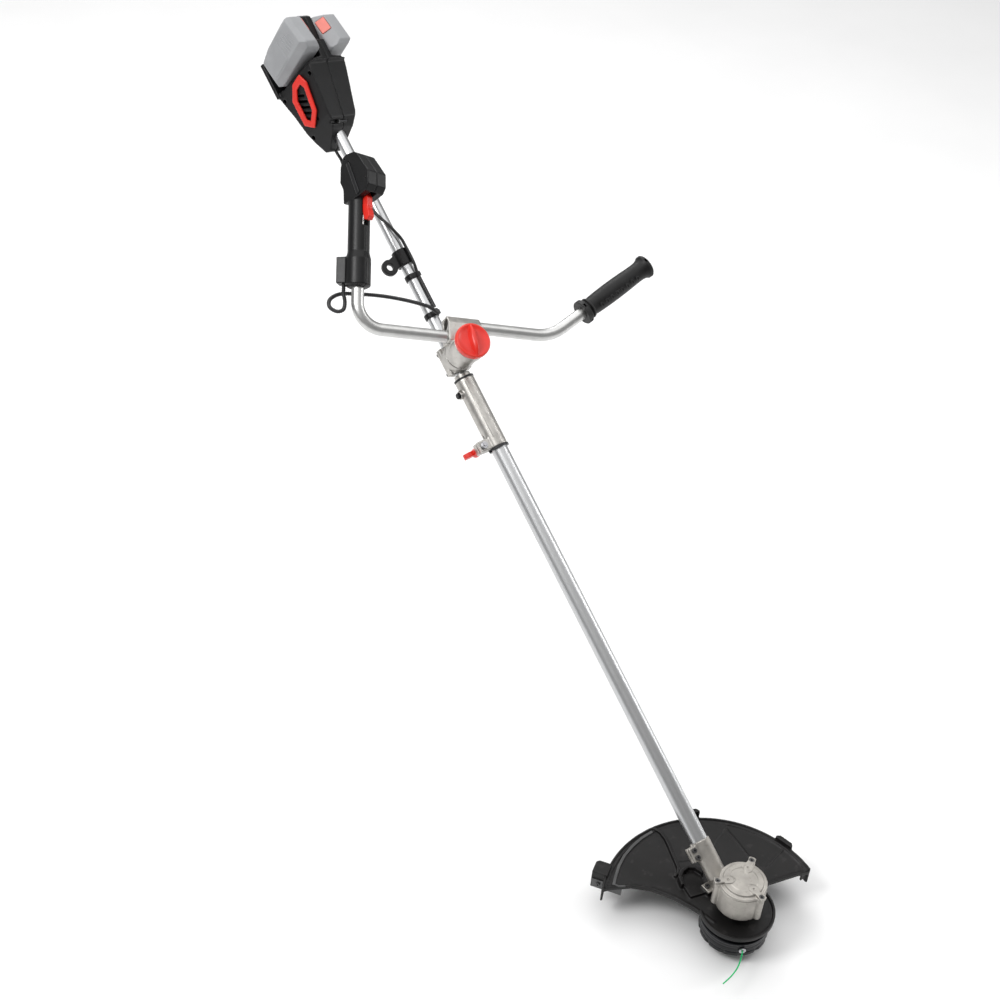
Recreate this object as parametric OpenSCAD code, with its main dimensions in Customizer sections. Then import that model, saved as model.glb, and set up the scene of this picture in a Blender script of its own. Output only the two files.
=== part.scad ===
// Cordless string trimmer: twin battery motor unit, split shaft, swivelling handlebar and bump-feed head.
// Z is the spin axis of the cutting head. The operator stands on the +Y side and +X is the operator's left.

/* [Shaft] */
// Rise of the shaft above the cutting plane
shaft_rise = 35; // [30:1:40]
// Outer radius of the upper tube
upper_r = 11; // [10:0.5:11.5]
// Outer radius of the lower tube
lower_r = 15; // [14.5:0.5:15]
// Distance from the axes' crossing point to the coupler's lower mouth
coupler_at = 895; // [700:5:950]
// Distance from the axes' crossing point to the centre of the handlebar column
column_at = 1068; // [1068:1:1100]
// Distance from the axes' crossing point to the harness eye
eye_at = 1266; // [1240:1:1300]

/* [Cutting head] */
// Outer radius of the line head
head_r = 59; // [50:1:60]
// Radius of the line
line_r = 1.2; // [0.8:0.1:1.5]
// Radius of the guard's outer arc
guard_r = 195; // [180:1:210]
// Depth of the guard's skirt
skirt_h = 32; // [25:1:45]

/* [Handlebar] */
// Height of the bars above the shaft's axis
bar_h = 60; // [60:1:64]
// Turn of the handlebar about its column
bar_swivel = -25; // [-40:1:20]
// Rise of the plain arm out of the swivel plane
plain_rise = 17; // [10:1:20]
// Rise of the control arm out of the swivel plane
control_rise = 11; // [8:1:20]
// Distance from the column to the control arm
control_reach = 200; // [190:1:220]
// Distance from the column to the corner of the plain arm
plain_reach = 163; // [150:1:180]

/* [Power unit] */
// Length of a battery pack
pack_l = 118; // [110:1:130]
// Width of a battery pack along the shaft, at its top
pack_w = 74; // [66:1:78]
// Height of a battery pack, away from the housing
pack_h = 48; // [40:1:55]
// Lean of the packs toward the rear
pack_lean = 10; // [0:1:12]

/* [Hidden] */
$fn = 64;

// Height of the point where the shaft's axis crosses the spin axis
apex_h = 60;
// Running clearance on a radius
fit = 0.05;

// Wall radii of the two tubes
upper_bore = upper_r - 1.5;
lower_bore = lower_r - 1.8;

// Coupler
sleeve_r = lower_r + 3;
sleeve_top = coupler_at + 134;
lower_tube_top = sleeve_top - 12;
plug_top = sleeve_top + 10.4;
button_at = sleeve_top - 24;
wing_at = coupler_at + 10;
wing_x = -30;

// Bevel gears, both with their cones' tips at the crossing point
gear_ratio = 2.5;
crown_pitch_r = 29;
cross_angle = 90 - shaft_rise;
pinion_cone = atan(sin(cross_angle) / (gear_ratio + cos(cross_angle)));
crown_cone = cross_angle - pinion_cone;
cone_len = crown_pitch_r / sin(crown_cone);
gear_face = 8;
gear_gap = 0.8;

// Gear case
case_r = 41;
case_floor = 92;
case_top = 141;
lug_at = case_r + 1;
cover_screw_at = case_r + 3.3;
cover_t = 8;
neck_r = 15.6;
socket_r = lower_r + 2.7;
socket_end = 135;
tube_start = 100;
boss_r = 17;
boss_bottom = 72;

// Line head
head_bottom = 9;
head_top = 62;
spool_bottom = 22;
spool_top = 46;
head_turn = -29;
line_z = 38;

// Guard
guard_x = -30;
guard_y = 20;
guard_z = 66;
plate_t = 4.5;
hub_plate_r = 65;

// Handlebar
tube_gap = 22.5;
control_y = 15.5;
plain_y = control_y + tube_gap;
control_bend = 45;
plain_bend = 80;
plain_angle = 39;
column_r = 28;
jaw_z = 30;
cap_top = bar_h + 17;
knob_z = cap_top + 1.5;
knob_h = 24;
clamp_knob_r = 32;

// Control handle, measured from the control arm's corner
collar_at = 68;
grip_at = 128;
head_at = 222;
head_end = 304;
grip_r = 19;
handle_turn = -70;
block_turn = 35;

// Power unit, measured along the shaft
unit_roll = 16;
unit_front = 1514;
unit_back = 1748;
pack_at = 1697;
pack_z = 20;
spine_x = 13;
motor_at = 1572;
motor_r = 27;
motor_l = 46;

module in_shaft(t = 0) {
    translate([0, 0, apex_h]) rotate([shaft_rise, 0, 0]) translate([0, t, 0]) children();
}

module along(r, t0, t1) {
    translate([0, t0, 0]) rotate([-90, 0, 0]) cylinder(r = r, h = t1 - t0);
}

module pipe(r, bore, t0, t1) {
    difference() {
        along(r, t0, t1);
        along(bore, t0 - 1, t1 + 1);
    }
}

module ring(r, bore, h) {
    difference() {
        cylinder(r = r, h = h);
        translate([0, 0, -1]) cylinder(r = bore, h = h + 2);
    }
}

module screw(shank_r, length, head, head_h) {
    translate([0, 0, -length]) cylinder(r = shank_r, h = length);
    difference() {
        cylinder(r = head, h = head_h);
        translate([0, 0, head_h / 2]) cylinder(r = head / 2, h = head_h, $fn = 6);
    }
}

// A coil spring as its envelope with a groove between the coils
module coil_spring(r, wire, length, coils) {
    pitch = length / coils;
    difference() {
        ring(r, r - wire, length);
        for (i = [1 : coils - 1]) {
            translate([0, 0, i * pitch]) rotate_extrude() translate([r, 0]) circle(r = wire * 0.4, $fn = 16);
        }
    }
}

// ---- Upper shaft ----

module upper_tube() {
    color("silver") in_shaft() difference() {
        pipe(upper_r, upper_bore, sleeve_top - 8, motor_at - 24);
    }
}

module coupler_sleeve() {
    ear_w = 22;
    color("gainsboro") in_shaft() difference() {
        union() {
            along(sleeve_r, coupler_at, sleeve_top);
            along(upper_r + 4, sleeve_top, plug_top);
            translate([wing_x - ear_w / 2 + 2, coupler_at, -13]) cube([ear_w + 4, 20, 22]);
            translate([0, button_at, 0]) rotate([0, -90, 0]) cylinder(r = 8, h = sleeve_r + 6);
        }
        along(lower_r + fit, coupler_at - 1, sleeve_top - 8);
        along(upper_r, sleeve_top - 9, plug_top + 1);
        translate([wing_x - 30, coupler_at - 1, -2]) cube([50, 30, 2.5]);
        translate([wing_x, wing_at, -20]) cylinder(r = 3.1, h = 40);
        translate([-lower_r + 4, button_at, 0]) rotate([0, -90, 0]) cylinder(r = 4.1, h = 8);
        translate([-sleeve_r + 1, button_at, 0]) rotate([0, -90, 0]) cylinder(r = 5.6, h = 10);
        translate([-lower_r - 1.2, coupler_at - 1, -4.2]) cube([6, button_at - coupler_at + 1, 8.4]);
        translate([sleeve_r - 1, coupler_at + 20, 4]) cube([4, 100, 1.6]);
    }
}

module coupler_rings() {
    color("black") in_shaft() {
        difference() {
            pipe(sleeve_r + 1, lower_r + 0.4, coupler_at - 4, coupler_at - 0.05);
            translate([-sleeve_r - 5, coupler_at - 5, -4.6]) cube([10, 10, 9.2]);
        }
        pipe(sleeve_r + 0.6, upper_r + 4.1, sleeve_top + 0.05, sleeve_top + 3);
    }
}

module upper_drive_shaft() {
    color("dimgray") in_shaft() along(4, sleeve_top - 4, motor_at - 10);
}

module drive_coupling() {
    color("slategray") in_shaft() difference() {
        along(7, sleeve_top - 34, sleeve_top + 8);
        along(4, sleeve_top - 4, sleeve_top + 9);
        translate([-3.1, sleeve_top - 35, -3.1]) cube([6.2, 31, 6.2]);
    }
}

module upper_shaft_bushes() {
    color("white") in_shaft() for (i = [0 : 2]) {
        pipe(upper_bore - 0.02, 4 + fit, 1130 + i * 180, 1150 + i * 180);
    }
}

module release_button() {
    color("black") in_shaft() translate([0, button_at, 0]) rotate([0, -90, 0]) {
        translate([0, 0, sleeve_r + 1.5]) cylinder(r = 5.5, h = 9);
        translate([0, 0, lower_r + 1.3]) cylinder(r = 3.5, h = 8);
    }
}

module release_spring() {
    color("silver") in_shaft() translate([-sleeve_r + 1, button_at, 0]) rotate([0, -90, 0]) {
        ring(5.2, 4.2, 1);
    }
}

module wing_screw() {
    color("crimson") in_shaft() translate([wing_x, wing_at, 0]) {
        translate([0, 0, -24]) cylinder(r = 3, h = 36);
        translate([0, 0, 9.1]) cylinder(r = 8, h = 7);
        translate([0, 0, -32]) cylinder(r = 8.5, h = 18.9);
        difference() {
            translate([-25, -4.5, -38]) cube([50, 9, 18]);
            translate([0, 6, -46]) rotate([90, 0, 0]) cylinder(r = 13, h = 12);
        }
    }
}

// ---- Lower shaft ----

module lower_tube() {
    color("silver") in_shaft() difference() {
        pipe(lower_r, lower_bore, tube_start, lower_tube_top);
        translate([0, button_at, 0]) rotate([0, -90, 0]) cylinder(r = 4.1, h = 30);
    }
}

module lower_drive_shaft() {
    pinion_back = cone_len * cos(pinion_cone);
    color("dimgray") in_shaft() {
        along(4, pinion_back - gear_face, sleeve_top - 36);
        translate([-3, sleeve_top - 37, -3]) cube([6, 29, 6]);
    }
}

module lower_shaft_bushes() {
    color("white") in_shaft() for (i = [0 : 3]) {
        pipe(lower_bore - 0.02, 4 + fit, 220 + i * 200, 245 + i * 200);
    }
}

module snap_pin() {
    color("silver") in_shaft() translate([0, button_at, 0]) rotate([0, -90, 0]) {
        translate([0, 0, lower_bore - 0.5]) cylinder(r = 4, h = 3.2);
        translate([0, 0, lower_bore - 2.2]) cylinder(r = 4, h = 1.8);
    }
}

// ---- Gear case ----

module cover_places(r) {
    for (a = [30, 150, 270]) {
        rotate([0, 0, a]) translate([r, 0, 0]) children();
    }
}

module gear_case() {
    color("silver") difference() {
        union() {
            translate([0, 0, case_floor - 12]) cylinder(r1 = 26, r2 = case_r - 1, h = 12.5);
            translate([0, 0, case_floor]) cylinder(r = case_r, h = case_top - case_floor);
            translate([0, 0, boss_bottom]) cylinder(r = boss_r, h = 12);
            in_shaft() along(neck_r, 31, 80);
            in_shaft() along(socket_r, 66, socket_end);
            in_shaft() translate([-socket_r - 12, 106, -8]) cube([20, 26, 16]);
            translate([0, 0, case_floor + 4]) cover_places(lug_at) cylinder(r = 7, h = case_top - case_floor - 4);
            translate([-25, 45.5, guard_z + 12.05]) cube([50, 20, 4.95]);
        }
        translate([0, 0, case_floor + 2]) cylinder(r = case_r - 5, h = case_top);
        translate([0, 0, case_floor - 5.8]) cylinder(r = 30.5, h = 9);
        translate([0, 0, boss_bottom + 5]) cylinder(r = 11, h = 30);
        translate([0, 0, boss_bottom - 1]) cylinder(r = 7, h = 30);
        in_shaft() along(12.8, 33.5, 101);
        in_shaft() along(lower_r, tube_start, socket_end + 1);
        in_shaft() translate([-socket_r - 20, 104, -1]) cube([28, 40, 2]);
        in_shaft() for (t = [112, 125]) {
            translate([-socket_r - 5, t, -12]) cylinder(r = 2.5, h = 24);
        }
        translate([0, 0, case_top - 14]) cover_places(cover_screw_at) cylinder(r = 2.5, h = 20);
        guard_screw_places() translate([0, 0, -6]) cylinder(r = 2.6, h = 12);
    }
}

module gear_cover() {
    color("gainsboro") difference() {
        union() {
            translate([0, 0, case_top]) cylinder(r = case_r - 0.5, h = cover_t - 3);
            translate([0, 0, case_top + 1]) cylinder(r = case_r - 7, h = cover_t - 1);
            translate([0, 0, case_top]) cover_places(lug_at) cylinder(r = 7, h = cover_t - 2);
            translate([0, 0, case_top]) cover_places(case_r - 12) translate([0, -4, 0]) cube([12, 8, cover_t - 2]);
            translate([0, 0, case_top - 15]) ring(14, 11, 16);
        }
        translate([0, 0, case_top - 1]) cover_places(cover_screw_at) cylinder(r = 2.7, h = 20);
        translate([0, 0, case_top + cover_t - 1.5]) cylinder(r = 5, h = 5, $fn = 6);
    }
}

module gear_case_screws() {
    color("dimgray") {
        translate([0, 0, case_top + cover_t - 2]) cover_places(cover_screw_at) screw(2.5, 18, 4.3, 3.5);
        in_shaft() for (t = [112, 125]) {
            translate([-socket_r - 5, t, 8]) screw(2.5, 20, 4.3, 4);
        }
        guard_screw_places() screw(2.5, 18, 4.5, 3);
    }
}

module gear_bearings() {
    color("lightsteelblue") {
        translate([0, 0, boss_bottom + 5]) ring(11, 6 + fit, 7);
        translate([0, 0, case_top - 12]) ring(11, 6 + fit, 7);
        in_shaft() for (t = [56, 80]) {
            pipe(12.8, 4 + fit, t, t + 8);
        }
    }
}

// Bevel gear blank seen from its cone's tip, with grooved teeth
module bevel(cone, inner, outer, teeth, bore, back) {
    z0 = inner * cos(cone);
    z1 = outer * cos(cone);
    difference() {
        union() {
            translate([0, 0, z0]) cylinder(r1 = inner * sin(cone), r2 = outer * sin(cone), h = z1 - z0);
            translate([0, 0, z1 - 0.01]) cylinder(r = outer * sin(cone), h = back);
        }
        translate([0, 0, z0 - 1]) cylinder(r = bore, h = z1 - z0 + back + 2);
        for (i = [0 : teeth - 1]) {
            rotate([0, cone, i * 360 / teeth]) translate([-0.6, -0.8, inner - 3]) cube([3, 1.6, outer - inner + 12]);
        }
    }
}

module pinion() {
    color("gray") in_shaft() rotate([-90, 0, 0]) {
        bevel(pinion_cone - gear_gap, cone_len - gear_face, cone_len, 14, 4, 6);
    }
}

module crown_gear() {
    color("gray") translate([0, 0, apex_h]) {
        bevel(crown_cone - gear_gap, cone_len - gear_face, cone_len, 35, 6, 7);
    }
}

module output_shaft() {
    color("lightgray") {
        translate([0, 0, boss_bottom + 1]) cylinder(r = 6, h = case_top - boss_bottom - 5);
        translate([0, 0, 40]) cylinder(r = 5, h = 33);
        translate([0, 0, head_top + 0.05]) cylinder(r = 14, h = 4);
        translate([0, 0, head_top + 4]) cylinder(r = 6.5, h = 7);
    }
}

// ---- Guard ----

module guard_zone(h) {
    linear_extrude(h) polygon([
        [-300, 168], [-176, 164], [-148, 154], [-118, 138], [-92, 113], [-72, 79], [-58, 40],
        [-50, 0], [40, 0], [62, 10], [86, 11], [140, -2], [178, -16], [300, -30], [300, 300], [-300, 300]
    ]);
}

module guard_arc(r0, r1, z0, h) {
    intersection() {
        translate([guard_x, guard_y, z0]) ring(r1, r0, h);
        translate([0, 0, z0 - 1]) guard_zone(h + 2);
    }
}

// Outline of a strip of an even width along a line of points
function strip_side(p, i, w) =
    let (d = p[min(i + 1, len(p) - 1)] - p[max(i - 1, 0)])
    p[i] + [-d[1], d[0]] * w / norm(d);
function strip_outline(p, w) = concat(
    [for (i = [0 : len(p) - 1]) strip_side(p, i, w / 2)],
    [for (i = [len(p) - 1 : -1 : 0]) strip_side(p, i, -w / 2)]
);

module guard_rib(p, w, h) {
    translate([0, 0, guard_z]) linear_extrude(plate_t + h) polygon(strip_outline(p, w));
}

module guard_lug(a, w, h) {
    translate([guard_x, guard_y, guard_z]) rotate([0, 0, a]) translate([guard_r - 3, -w / 2, -4]) cube([9, w, h]);
}

module in_cutter() {
    translate([guard_x, guard_y, guard_z - skirt_h + plate_t]) rotate([0, 0, 123]) translate([guard_r, 0, 0]) children();
}

module guard_screw_places() {
    for (x = [-19, 19]) {
        translate([x, 57, guard_z + 17.05]) children();
    }
}

module guard() {
    rib_h = 5.5;
    color("black") difference() {
        union() {
            intersection() {
                translate([guard_x, guard_y, guard_z]) cylinder(r = guard_r, h = plate_t);
                guard_zone(200);
            }
            translate([0, 0, guard_z]) cylinder(r = hub_plate_r, h = plate_t);
            translate([0, 0, guard_z]) ring(hub_plate_r, hub_plate_r - 4, 9);
            guard_arc(guard_r - 4, guard_r, guard_z - skirt_h + plate_t, skirt_h + 5);
            guard_arc(guard_r - 22, guard_r - 19, guard_z, plate_t + rib_h);
            guard_rib([[-8, 205], [-5, 192], [-8, 172], [-17, 150], [-29, 119], [-46, 109]], 4.5, rib_h);
            guard_rib([[100, 138], [97, 104], [92, 70]], 2, 2);
            guard_rib([[155, 50], [130, 44], [101, 36]], 2, 2);
            guard_rib([[-51, 70], [-47, 92], [-38, 104], [-22, 108], [-9, 101], [-5, 86]], 6, 13.5);
            guard_lug(62, 30, 31);
            guard_lug(11, 34, 20);
            in_cutter() translate([-6, -14, 0]) cube([28, 28, skirt_h + 9]);
            translate([-25, 46, guard_z]) cube([50, 20, 12]);
        }
        translate([0, 0, guard_z - 1]) cylinder(r = 21, h = 30);
        in_shaft() along(socket_r + 0.6, 20, 140);
        guard_screw_places() translate([0, 0, -25]) cylinder(r = 2.5, h = 30);
        in_cutter() translate([8, 5, 14]) rotate([-90, 0, 0]) cylinder(r = 2, h = 30);
        in_cutter() translate([-40, 14.03, 3.2]) cube([64, 1.67, 21.6]);
    }
}

module line_cutter() {
    color("silver") in_cutter() {
        difference() {
            translate([-34, 14.1, 4]) cube([54, 1.5, 20]);
            translate([8, 5, 14]) rotate([-90, 0, 0]) cylinder(r = 2, h = 30);
        }
        translate([8, 15.65, 14]) rotate([-90, 0, 0]) screw(1.95, 8, 4, 2.5);
    }
}

// ---- Line head ----

// The line's two exits, half a turn apart
module at_exits() {
    for (a = [0, 180]) {
        rotate([0, 0, a + head_turn]) children();
    }
}

module head_housing() {
    color([0.12, 0.12, 0.13]) difference() {
        union() {
            translate([0, 0, 30]) cylinder(r = head_r, h = 20);
            translate([0, 0, 50]) cylinder(r1 = head_r, r2 = 44, h = head_top - 50);
            translate([0, 0, 50]) rotate_extrude() translate([head_r - 2, 0]) square([3, 2.5]);
        }
        translate([0, 0, 29]) cylinder(r = head_r - 3, h = 20);
        translate([0, 0, 20]) cylinder(r = 5, h = 50);
        translate([0, 0, 39.8]) rotate_extrude() translate([head_r - 1, 0]) square([3, 2]);
        at_exits() translate([0, -head_r + 6, line_z]) rotate([90, 0, 0]) cylinder(r = 4, h = 20);
    }
}

module head_cap() {
    color([0.1, 0.1, 0.11]) difference() {
        union() {
            translate([0, 0, head_bottom]) cylinder(r1 = 47, r2 = head_r, h = 12);
            translate([0, 0, head_bottom + 12]) cylinder(r = head_r, h = 8.9);
        }
        translate([0, 0, head_bottom + 6]) cylinder(r = head_r - 8, h = 30);
        translate([0, 0, head_bottom - 1]) cylinder(r = 25, h = 20);
        for (i = [0 : 11]) {
            rotate([0, 0, i * 30]) translate([head_r + 1, 0, head_bottom + 5]) cylinder(r = 4, h = 18);
        }
    }
}

module line_eyelets() {
    color("silver") at_exits() translate([0, -head_r + 4.5, line_z]) rotate([90, 0, 0]) {
        ring(3.98, 2.2, 5.5);
        translate([0, 0, 5.5]) ring(6, 2.2, 1.5);
    }
}

module spool() {
    color("dimgray") difference() {
        union() {
            translate([0, 0, spool_bottom]) cylinder(r = 24, h = spool_top - spool_bottom);
            translate([0, 0, spool_bottom]) cylinder(r = 50, h = 2.5);
            translate([0, 0, spool_top - 2.5]) cylinder(r = 50, h = 2.5);
            translate([0, 0, (spool_bottom + spool_top) / 2 - 1]) cylinder(r = 50, h = 2);
        }
        translate([0, 0, spool_bottom - 1]) cylinder(r = 21, h = 40);
    }
}

module wound_line() {
    color("limegreen") {
        translate([0, 0, spool_bottom + 2.6]) ring(43, 24.1, 8.3);
        translate([0, 0, spool_top - 10.9]) ring(43, 24.1, 8.3);
        at_exits() sweep_tube(smooth_path(tail_route, 3), line_r, 8);
    }
}

module head_spring() {
    color("silver") translate([0, 0, 22.05]) coil_spring(16, 1.6, 26.9, 6);
}

module bump_knob() {
    color([0.15, 0.15, 0.16]) difference() {
        union() {
            translate([0, 0, 3]) cylinder(r = 24, h = 12);
            cylinder(r1 = 18, r2 = 24, h = 3.01);
            translate([0, 0, 3]) cylinder(r = 20.5, h = 24);
        }
        translate([0, 0, 22]) cylinder(r = 17, h = 10);
        for (i = [0 : 5]) {
            rotate([0, 0, i * 60]) translate([24, 0, -1]) cylinder(r = 3.5, h = 9);
        }
    }
}

// ---- Handlebar bracket ----

module in_bar() {
    in_shaft(column_at) rotate([0, 0, bar_swivel]) children();
}

module base_shape() {
    along(19, -24, 27);
    translate([-22, -24, -8]) cube([44, 51, 16]);
}

module bracket_screw_places() {
    for (x = [-17, 17]) {
        for (y = [-18, 21]) {
            translate([x, y, -8.02]) rotate([180, 0, 0]) children();
        }
    }
}

module bracket_base() {
    color([0.3, 0.3, 0.3]) in_shaft(column_at) difference() {
        union() {
            intersection() {
                base_shape();
                translate([-50, -50, 0.5]) cube([100, 100, 60]);
            }
            translate([0, 0, 0.5]) cylinder(r = column_r - 3, h = 20);
            translate([0, 0, 14]) cylinder(r = column_r, h = 12.5);
            for (i = [0 : 23]) {
                rotate([0, 0, i * 15]) translate([column_r - 7, -1, 26]) cube([5, 2, 2]);
            }
            for (i = [-3 : 3]) {
                rotate([0, 0, -90 + i * 12]) translate([column_r - 5, -1.2, 2]) cube([4.5, 2.4, 13]);
            }
        }
        along(upper_r, -40, 40);
        translate([0, 0, upper_r + 4.2]) cylinder(r = 8, h = 4.6);
        translate([0, 0, upper_r]) cylinder(r = 4.1, h = 40);
        bracket_screw_places() translate([0, 0, -14]) cylinder(r = 2.5, h = 40);
    }
}

module bracket_lower() {
    color([0.32, 0.32, 0.32]) in_shaft(column_at) difference() {
        intersection() {
            base_shape();
            translate([-50, -50, -60]) cube([100, 100, 59.5]);
        }
        along(upper_r, -40, 40);
        bracket_screw_places() translate([0, 0, -20]) cylinder(r = 2.5, h = 40);
        bracket_screw_places() cylinder(r = 4.6, h = 20);
    }
}

module frame_screws() {
    color("dimgray") {
        in_shaft(column_at) bracket_screw_places() screw(2.5, 13, 4.3, 4);
        in_shaft(eye_at) translate([16, 9, -3]) screw(2, 12, 3.6, 3);
        unit_screw_places() screw(2, 18, 3.6, 2.5);
    }
}

// Outline of the bar clamp's jaws seen along the bars
module clamp_block(z0, z1) {
    intersection() {
        translate([-38, 3, z0]) cube([62, 49, z1 - z0]);
        translate([-40, 0, 0]) rotate([90, 0, 90]) linear_extrude(80) polygon([
            [-30, 0], [-30, cap_top], [36, cap_top], [52, cap_top - 10], [52, 42], [40, 30]
        ]);
    }
}

module bar_axis_cuts() {
    translate([-60, control_y, bar_h]) rotate([0, 90, 0]) cylinder(r = upper_r, h = 120);
    translate([-60, plain_y, bar_h]) rotate([0, 90, 0]) cylinder(r = upper_r, h = 120);
}

module swivel_jaw() {
    color([0.22, 0.22, 0.22]) in_bar() difference() {
        union() {
            translate([0, 0, jaw_z - 1.6]) cylinder(r = column_r, h = bar_h - jaw_z + 1.2);
            clamp_block(jaw_z + 13, bar_h - 0.4);
        }
        bar_axis_cuts();
        translate([0, 0, jaw_z - 10]) cylinder(r = 4.1, h = 60);
    }
}

module clamp_cap() {
    color("silver") in_bar() difference() {
        union() {
            translate([0, 0, bar_h + 0.4]) cylinder(r = column_r + 2, h = cap_top - bar_h - 0.4);
            clamp_block(bar_h + 0.4, cap_top - 0.8);
        }
        bar_axis_cuts();
        translate([0, 0, jaw_z - 10]) cylinder(r = 4.1, h = 90);
    }
}

module clamp_bolt() {
    color("gray") in_bar() {
        translate([0, 0, upper_r + 4.4]) cylinder(r = 7.6, h = 4, $fn = 6);
        translate([0, 0, upper_r + 4.4]) cylinder(r = 4, h = knob_z + 12 - upper_r - 4.4);
    }
}

module clamp_knob() {
    color("crimson") in_bar() translate([0, 0, knob_z]) difference() {
        union() {
            cylinder(r = clamp_knob_r - 1.5, h = 3);
            translate([0, 0, 3]) cylinder(r = clamp_knob_r, h = 9);
            translate([0, 0, 12]) cylinder(r1 = clamp_knob_r, r2 = clamp_knob_r - 5, h = 5);
            // Finger bar between two dished sides
            rotate([0, 0, 100]) intersection() {
                translate([-clamp_knob_r + 1, -6, 12]) cube([2 * clamp_knob_r - 2, 12, knob_h - 12]);
                translate([0, 20, -18]) rotate([90, 0, 0]) cylinder(r = 42, h = 40);
            }
        }
        translate([0, 0, -1]) cylinder(r = 4 + fit, h = 16);
    }
}

// ---- Bars and grips ----

module in_control() {
    in_bar() translate([-control_reach, control_y, bar_h]) rotate([control_rise, 0, 0]) children();
}

module in_handle() {
    in_control() rotate([0, handle_turn, 0]) children();
}

module in_plain() {
    in_bar() translate([plain_reach, plain_y, bar_h]) rotate([plain_rise, 0, 0]) rotate([0, 0, plain_angle]) children();
}

module control_path(r) {
    translate([control_reach + 20, 0, 0]) rotate([0, -90, 0]) cylinder(r = r, h = control_reach + 20 - control_bend);
    translate([control_bend, control_bend, 0]) rotate([0, 0, 180]) rotate_extrude(angle = 90) {
        translate([control_bend, 0]) circle(r = r);
    }
    along(r, control_bend, head_at + 4);
}

module control_bar() {
    color("silver") in_control() difference() {
        control_path(upper_r);
        control_path(upper_bore);
        along(upper_bore, head_at, head_at + 10);
        translate([control_reach + 10, 0, 0]) rotate([0, 90, 0]) cylinder(r = upper_bore, h = 20);
    }
}

module plain_bar() {
    tangent = plain_bend * tan(plain_angle / 2);
    color("silver") in_plain() {
        rotate([0, 0, -plain_angle]) {
            translate([-plain_reach - 20, 0, 0]) rotate([0, 90, 0]) ring(upper_r, upper_bore, plain_reach + 19.98 - tangent);
            translate([-tangent, plain_bend, 0]) rotate([0, 0, -90]) rotate_extrude(angle = plain_angle) {
                translate([plain_bend, 0]) difference() {
                    circle(r = upper_r);
                    circle(r = upper_bore);
                }
            }
        }
        translate([tangent + 0.02, 0, 0]) rotate([0, 90, 0]) ring(upper_r, upper_bore, 221.98 - tangent);
    }
}

module plain_grip() {
    color([0.14, 0.14, 0.15]) in_plain() rotate([0, 90, 0]) difference() {
        union() {
            translate([0, 0, 76]) cylinder(r = 23, h = 5);
            translate([0, 0, 81]) cylinder(r1 = 23, r2 = 18, h = 5);
            translate([0, 0, 82]) cylinder(r = 18, h = 144);
            translate([0, 0, 222]) cylinder(r1 = 18, r2 = 22, h = 6);
            translate([0, 0, 228]) cylinder(r = 22, h = 8);
            for (i = [0 : 9]) {
                translate([0, 0, 98 + i * 12]) cylinder(r = 18.6, h = 6);
            }
        }
        translate([0, 0, 70]) cylinder(r = upper_r, h = 152);
    }
}

// ---- Control handle ----

// Outline of the handle's head beside the arm, seen along the split's normal
module head_outline() {
    polygon([
        [-19, head_at - 6], [-21, head_at + 20], [-30, head_at + 34], [-30, head_at + 62],
        [-24, head_end - 4], [-16, head_end], [6, head_end], [14, head_end - 4],
        [46, head_at + 40], [47, head_at + 16], [40, head_at + 6], [19, head_at]
    ]);
}

module handle_shape() {
    along(22, collar_at + 4, collar_at + 50);
    translate([0, collar_at, 0]) rotate([-90, 0, 0]) cylinder(r1 = 15, r2 = 22, h = 4.01);
    translate([0, collar_at + 50, 0]) rotate([-90, 0, 0]) cylinder(r1 = 22, r2 = grip_r, h = 12);
    rotate([0, block_turn, 0]) translate([-36, collar_at + 8, -11]) cube([28, 46, 22]);
    along(grip_r, collar_at + 50, head_at + 4);
    translate([0, 0, -20]) linear_extrude(40) head_outline();
}

module handle_cavity() {
    along(upper_r, collar_at - 2, head_at + 6);
    translate([-15, head_at + 6, -16]) cube([26, 70, 32]);
    translate([10, head_at + 10, -16]) cube([24, 34, 32]);
    rotate([0, block_turn, 0]) {
        translate([-31, collar_at + 12, -5]) cube([15, 38, 10]);
        translate([-25, collar_at + 16, 0]) rotate([90, 0, 0]) cylinder(r = 4.2, h = 20);
    }
    translate([8, head_at - 46, -6.4]) cube([30, 64, 12.8]);
    translate([-34, head_at + 26, -6.4]) cube([24, 44, 12.8]);
    pin_places() translate([0, 0, -10]) cylinder(r = 2, h = 20);
}

// Pivots of the trigger and of the lock lever
module pin_places() {
    for (p = [[16, head_at + 6], [-24, head_at + 36]]) {
        translate([p[0], p[1], 0]) children();
    }
}

module handle_front() {
    color([0.17, 0.17, 0.18]) in_handle() difference() {
        intersection() {
            handle_shape();
            translate([-60, 0, 0.03]) cube([140, 400, 60]);
        }
        handle_cavity();
        translate([17, head_at + 2, 16]) rotate([0, 0, 27]) cube([9, 70, 10]);
        translate([-14, head_end - 22, 17]) cube([10, 3, 10]);
        handle_screw_places() translate([0, 0, -30]) cylinder(r = 1.8, h = 60);
    }
}

module handle_back() {
    color([0.16, 0.16, 0.17]) in_handle() difference() {
        intersection() {
            handle_shape();
            translate([-60, 0, -60]) cube([140, 400, 59.97]);
        }
        handle_cavity();
        handle_screw_places() translate([0, 0, -30]) cylinder(r = 1.8, h = 60);
    }
}

module handle_screw_places() {
    for (p = [[-14.8, grip_at + 36], [-20, head_end - 8], [38, head_at + 28], [-13, collar_at + 58]]) {
        translate([p[0], p[1], 0]) children();
    }
}

module handle_screws() {
    color("dimgray") in_handle() {
        handle_screw_places() translate([0, 0, -11]) cylinder(r = 1.75, h = 20);
    }
}

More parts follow.
